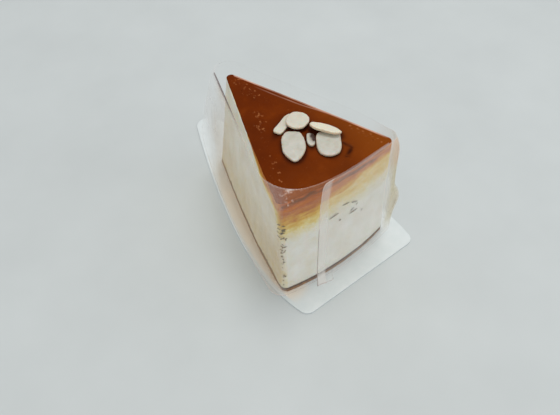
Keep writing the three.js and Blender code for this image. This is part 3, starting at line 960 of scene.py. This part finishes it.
def flake(name, number, material, size, at, turn,
          roll=0, point=0, square=0, cut=1, bend=0.5, hollow=0, toast=0.05):
    """One flaked almond: a flat superellipse of revolution whose outline is an oval, drawn to a point at one
    end or swollen towards a square, uneven by a few hundredths, bowed by the square of the way along it and
    softly lumpy. A hollow is a bell curve cut off flat, and its dark tint is painted shadow."""
    tilt = np.linspace(-np.pi / 2, np.pi / 2, FLAKE_ROWS + 2)[1:-1, None]
    angle = np.linspace(0, 2 * np.pi, FLAKE_COLUMNS, endpoint=False)
    ring = np.stack([np.cos(angle), np.sin(angle), 0 * angle + 7 * number], axis=-1)
    uneven = 1 + layered(ring, FLAKE_RIM_WAVES)
    taper = 1 - 0.5 * point * np.maximum(np.cos(angle), 0) ** 2
    power = 1 - square * mix(0.35, 1, np.cos(angle) < 0)
    reach = swollen(np.cos(tilt), 0.28)
    x = size[0] / 2 * swollen(np.cos(angle), power) * uneven * reach
    y = size[1] / 2 * np.maximum(swollen(np.sin(angle), power), -cut) * taper * uneven * reach
    z = FLAKE_THICKNESS / 2 * swollen(np.sin(tilt), 0.55) + 0 * x
    local = np.dstack([x, y, z])
    bow = bend * (FLAKE_BOW["ends"] * (2 * x / size[0]) ** 2 - FLAKE_BOW["middle"])
    dent = bell(x - HOLLOW["at"][0], HOLLOW["reach"][0]) * bell(y - HOLLOW["at"][1], HOLLOW["reach"][1])
    dent = hollow * np.minimum(2 * dent, 1) * (z > 0)
    grain = 0.1 * lumps(local + 11 * number, 3, 53) + 0.04 * lumps(local, 1, 54)
    y, z = turned(y, z - HOLLOW["depth"] * dent + bow + grain, math.radians(roll))
    x, y = turned(x, y, math.radians(turn))
    points = np.dstack([x, y, z]) + at + np.array([0, 0, CAKE_TOP + DOME - FLAKE_SINK])
    # The hollow's field carries its painted shadow.
    drawn = {"rim": reach ** 6 + 0 * x, "hollow": dent, "toast": toast + 0 * x}
    make_stack(name.replace("flake", "almond"), points, material, [name], drawn)


# The card
CARD_COUNTS = (24, 110, 18, 70, 18, 110)
CARD_RINGS = 40
CARD_EDGE_ROUND = 0.25
CARD_EDGE_ROWS = 6
BOUNCE_REACH = (15, 8)
BOUNCE_Y = (-96, -86, -25, 15)


def card_slip():
    """The slip of card: its outline carried round a half-rounded edge, then rings that shrink to the middle,
    with painted bounce light from the cake, in its shadow, along the slice's left cut that fades with the
    distance from it."""
    plan = wedge_points(CARD[None], round_stretch(CARD_COUNTS))[0]
    normal = outward(plan[None])[0]
    middle = plan.mean(axis=0)
    angle = np.linspace(-np.pi / 2, np.pi / 2, 2 * CARD_EDGE_ROWS)
    inset = CARD_EDGE_ROUND * (1 - np.cos(angle))
    straight = CARD_THICKNESS / 2 - CARD_EDGE_ROUND
    rise = CARD_THICKNESS / 2 + np.sign(angle) * straight + CARD_EDGE_ROUND * np.sin(angle)
    level = np.broadcast_to(rise[:, None], (len(rise), len(plan)))
    edge = np.dstack([plan - normal * inset[:, None, None], level])
    shrink = np.linspace(1, 0, CARD_RINGS, endpoint=False)[1:, None, None]
    flat = middle + (edge[-1, :, :2] - middle) * shrink
    top = np.dstack([flat, np.full(flat.shape[:2], float(CARD_THICKNESS))])
    bottom = np.dstack([flat[::-1], np.zeros(flat.shape[:2])])
    rings = np.concatenate([bottom, edge, top])
    left_cut = SLICE_BOTTOM[:4].reshape(2, 2)
    near_cut = smooth(distance_to_line(rings[..., :2], left_cut), *BOUNCE_REACH)
    on_top = np.arange(len(rings))[:, None] > len(bottom) + len(edge)
    painted_bounce = near_cut * window(rings[..., 1], *BOUNCE_Y) * on_top
    make_stack("card_slip", rings, card_finish(), ["card"], {"painted_bounce": painted_bounce})


# Damp marks between crumb and film. Dashes are place across the front, height, length, width and turn.
DAMP_DASHES = (
    (-3.6, 40.8, 5.6, 1.04, 8), (8.1, 35.8, 5.4, 1.17, 0), (3.4, 44.5, 4.4, 0.78, -10),
    (8.6, 42.2, 4.4, 0.91, -25), (13.9, 32.5, 1.6, 0.78, 60), (0, 35.5, 1.2, 1.3, 0),
    (7.4, 37.8, 2.6, 0.78, 25), (10.2, 39.6, 1.8, 0.65, 50),
)
DASH_LEVEL = 0.65
DROP_COUNT = 46
DROP_HEIGHTS = (5, 51)
DROP_LENGTHS = (1.5, 2.3)
DROP_TURNS = (-40, 100)
DROP_STRETCH = 2.6
DROP_SPREAD = (0.1, 0.3)
DAMP_SEED = 5
DAMP_LIFT = 0.12
DAMP_ROWS = 5
DAMP_COLUMNS = 14
WALL_STEP = 0.01


def wall_spots(stretch, height):
    """Places on the slice's wall at stretches and heights, with directions along the wall and out of it."""
    sides = np.stack([stretch - WALL_STEP, stretch, stretch + WALL_STEP], axis=-1)
    plan = wedge_points(mix(SLICE_BOTTOM, SLICE_TOP, (height / SLICE_HEIGHT)[:, None]), sides)
    along = unit(plan[:, 2] - plan[:, 0])
    out = np.stack([along[:, 1], -along[:, 0]], axis=-1)
    return plan[:, 1], along, out


def damp_marks():
    """Flat drops on the slice's wall: dashes on the front, and drops strung down its left corner at random.
    Each is a low dome: an oval whose height falls with the square of its radius."""
    dashes = np.array(DAMP_DASHES)
    dashes[:, 0] = on_front(mix(SLICE_BOTTOM, SLICE_TOP, DASH_LEVEL)[None], dashes[:, 0])[0]
    draw = np.random.default_rng(DAMP_SEED)
    height = mix(*DROP_HEIGHTS, draw.random(DROP_COUNT) ** 0.6)
    upper = smooth(height, 24, 48)
    aside = np.clip(draw.normal(0, 1, DROP_COUNT), -1.4, 1.4)
    stretch = DROP_STRETCH + aside * mix(*DROP_SPREAD, upper)
    length = mix(*DROP_LENGTHS, upper) * mix(0.6, 1, draw.random(DROP_COUNT))
    width = np.sqrt(length) * mix(0.4, 0.6, draw.random(DROP_COUNT))
    turn = mix(*DROP_TURNS, draw.random(DROP_COUNT))
    marks = np.concatenate([dashes, np.column_stack([stretch, height, length, width, turn])])
    place, along, out = wall_spots(marks[:, 0], marks[:, 1])
    height, length, width, turn = marks.T[1:, :, None, None]
    ring = np.linspace(0, 2 * np.pi, DAMP_COLUMNS, endpoint=False)
    radius = np.linspace(1, 0.15, DAMP_ROWS)[:, None]
    u, v = turned(length / 2 * radius * np.cos(ring), width / 2 * radius * np.sin(ring), np.radians(turn))
    lift = DAMP_LIFT * (1 - radius ** 2) + 0 * ring
    flat = place[:, None, None] + u[..., None] * along[:, None, None] + lift[..., None] * out[:, None, None]
    rings = np.concatenate([flat, (v + height + CARD_THICKNESS)[..., None]], axis=-1)
    points, faces = closed_stacks(rings)
    depth = np.repeat([1, 0.8], [len(dashes), DROP_COUNT])
    fields = {"depth": np.repeat(depth, len(points) // len(rings))}
    make_piece("damp_marks", points, faces, wet_finish(), [], fields)


# Floor, light and camera. Lights are in metres, the camera's places in the slice's millimetres.
FLOOR_REACH = 3000
LIGHTS = {
    "window": {"place": (0.26, 0.12, 1.16), "size": 0.5, "power": 4.5, "tint": (1.0, 0.99, 0.97)},
    "left_fill": {"place": (-1.1, -0.1, 0.7), "size": 1.2, "power": 1.3, "tint": (1.0, 0.86, 0.72)},
    "front_fill": {"place": (0.6, -1.05, 0.6), "size": 1.2, "power": 2.8, "tint": (0.98, 0.99, 1.0)},
}
LIGHT_AIM = (0, 0, 0.03)
SURROUND = {"Color": (0.94, 0.97, 1.0, 1.0), "Strength": 0.6}
EYE = (-146.84, -231.96, 285.94)
AIM = (-15.26, -63.91, 33.46)
LENS = 45
SENSOR = 36
NEAREST = 10


def floor():
    """A plain pale floor under the part."""
    corners = np.array([(-1, -1, 0), (1, -1, 0), (1, 1, 0), (-1, 1, 0)]) * FLOOR_REACH * MM
    mesh = bpy.data.meshes.new("floor")
    mesh.from_pydata(corners.tolist(), [], [(0, 1, 2, 3)])
    finish = Finish("pale_floor", Roughness=0.6)
    finish.set("Base Color", finish.ramp(finish.noise(60), [(0.3, "c9cecd"), (0.7, "cfd4d3")]))
    mesh.materials.append(finish.material)
    plane = linked("floor", mesh)


def placed(name, data, place, aim):
    """A light or a camera at its place, level and turned to its aim."""
    thing = linked(name, data)
    thing.location = place
    thing.rotation_mode = "QUATERNION"
    thing.rotation_quaternion = (Vector(aim) - Vector(place)).to_track_quat("-Z", "Y")
    return thing


def light():
    """A soft light from above, weak wide ones from the left and the front, and a bright surround."""
    for name, facts in LIGHTS.items():
        data = bpy.data.lights.new(name, "AREA")
        data.size = facts["size"]
        data.energy = facts["power"]
        data.color = facts["tint"]
        placed(name, data, facts["place"], LIGHT_AIM)
    world = bpy.data.worlds.new("surround")
    world.use_nodes = True
    for socket, value in SURROUND.items():
        world.node_tree.nodes["Background"].inputs[socket].default_value = value
    bpy.context.scene.world = world
    bpy.context.scene.view_settings.view_transform = "Standard"


def camera():
    """The camera, aimed at the slice."""
    data = bpy.data.cameras.new("camera")
    data.lens = LENS
    data.sensor_width = SENSOR
    data.clip_start = NEAREST * MM
    eye, aim = (np.array([EYE, AIM]) + SHIFT) * MM
    bpy.context.scene.camera = placed("camera", data, eye, aim)


cake_body()
glaze_lid()
baked_base()
card_slip()
almond = almond_finish()
for number, (name, facts) in enumerate(FLAKES.items()):
    flake(name, number, almond, **facts)
damp_marks()
wrapped_film()
floor()
light()
camera()

bpy.context.view_layer.update()
